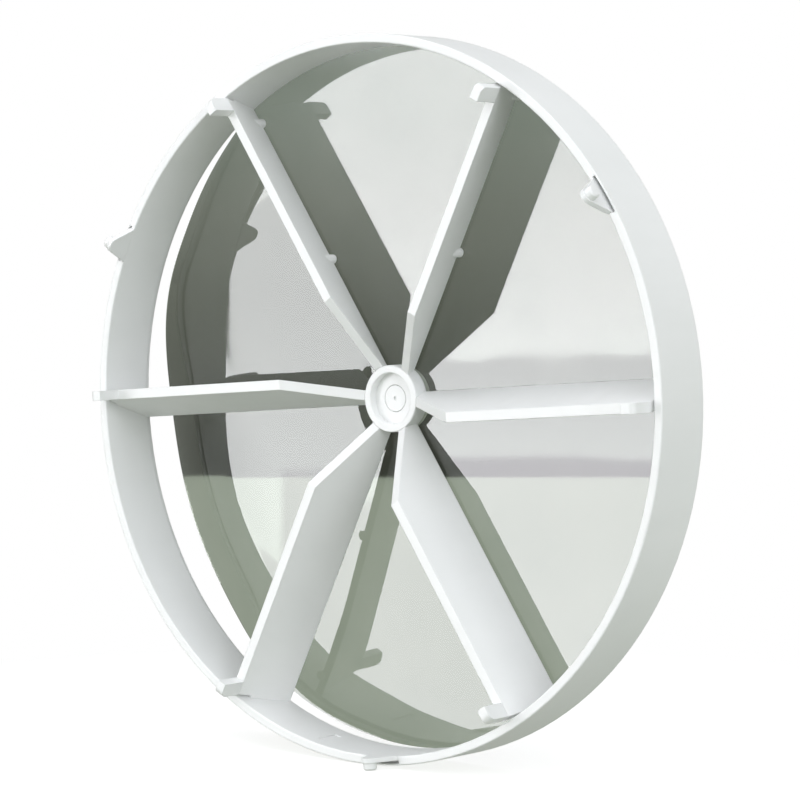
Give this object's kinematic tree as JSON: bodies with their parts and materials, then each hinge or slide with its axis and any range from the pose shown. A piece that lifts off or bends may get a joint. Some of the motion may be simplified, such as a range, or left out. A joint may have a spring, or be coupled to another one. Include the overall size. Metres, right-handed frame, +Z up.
{
  "type": "duct back-draught valve",
  "caption": "Round non-return valve insert for a duct fan: a vaned ring with a hub and a flexible film disc behind it that air pushes open.",
  "frame": {"origin": "on the valve's axis, halfway along the ring's depth", "axes": "+Y along the axis towards the film side, +Z up, so +X is the side of three o'clock seen from the tabbed side"},
  "size_m": [0.098, 0.0185, 0.0982],
  "materials": {
    "white_moulding": "satin white moulded plastic",
    "film": "very glossy smoky clear film"
  },
  "bodies": {
    "frame": {"outer_ring": "white_moulding", "hub": "white_moulding", "retaining_pin": "white_moulding", "vane_1": "white_moulding", "vane_2": "white_moulding", "vane_3": "white_moulding", "vane_4": "white_moulding", "vane_5": "white_moulding", "vane_6": "white_moulding", "locating_peg_1": "white_moulding", "locating_peg_2": "white_moulding", "locating_peg_3": "white_moulding", "locating_peg_4": "white_moulding", "locating_peg_5": "white_moulding", "locating_peg_6": "white_moulding", "snap_tab_1": "white_moulding", "snap_tab_2": "white_moulding", "snap_tab_3": "white_moulding", "snap_pin_1": "white_moulding", "snap_pin_2": "white_moulding", "snap_pin_3": "white_moulding", "film_strip": "film"},
    "upper_right_flap": {"film_flap_upper_right": "film"},
    "lower_left_flap": {"film_flap_lower_left": "film"}
  },
  "joints": [
    {"name": "upper_right_flap_hinge", "type": "hinge", "parent": "frame", "child": "upper_right_flap", "pos_m": [0.00429, 0.00392, 0.00248], "axis": [-0.5, 0, 0.866], "range_deg": [0, 70], "stiffness_Nm_per_rad": 0.0013},
    {"name": "lower_left_flap_hinge", "type": "hinge", "parent": "frame", "child": "lower_left_flap", "pos_m": [-0.00429, 0.00392, -0.00248], "axis": [0.5, 0, -0.866], "range_deg": [-8, 62], "stiffness_Nm_per_rad": 0.0013}
  ]
}
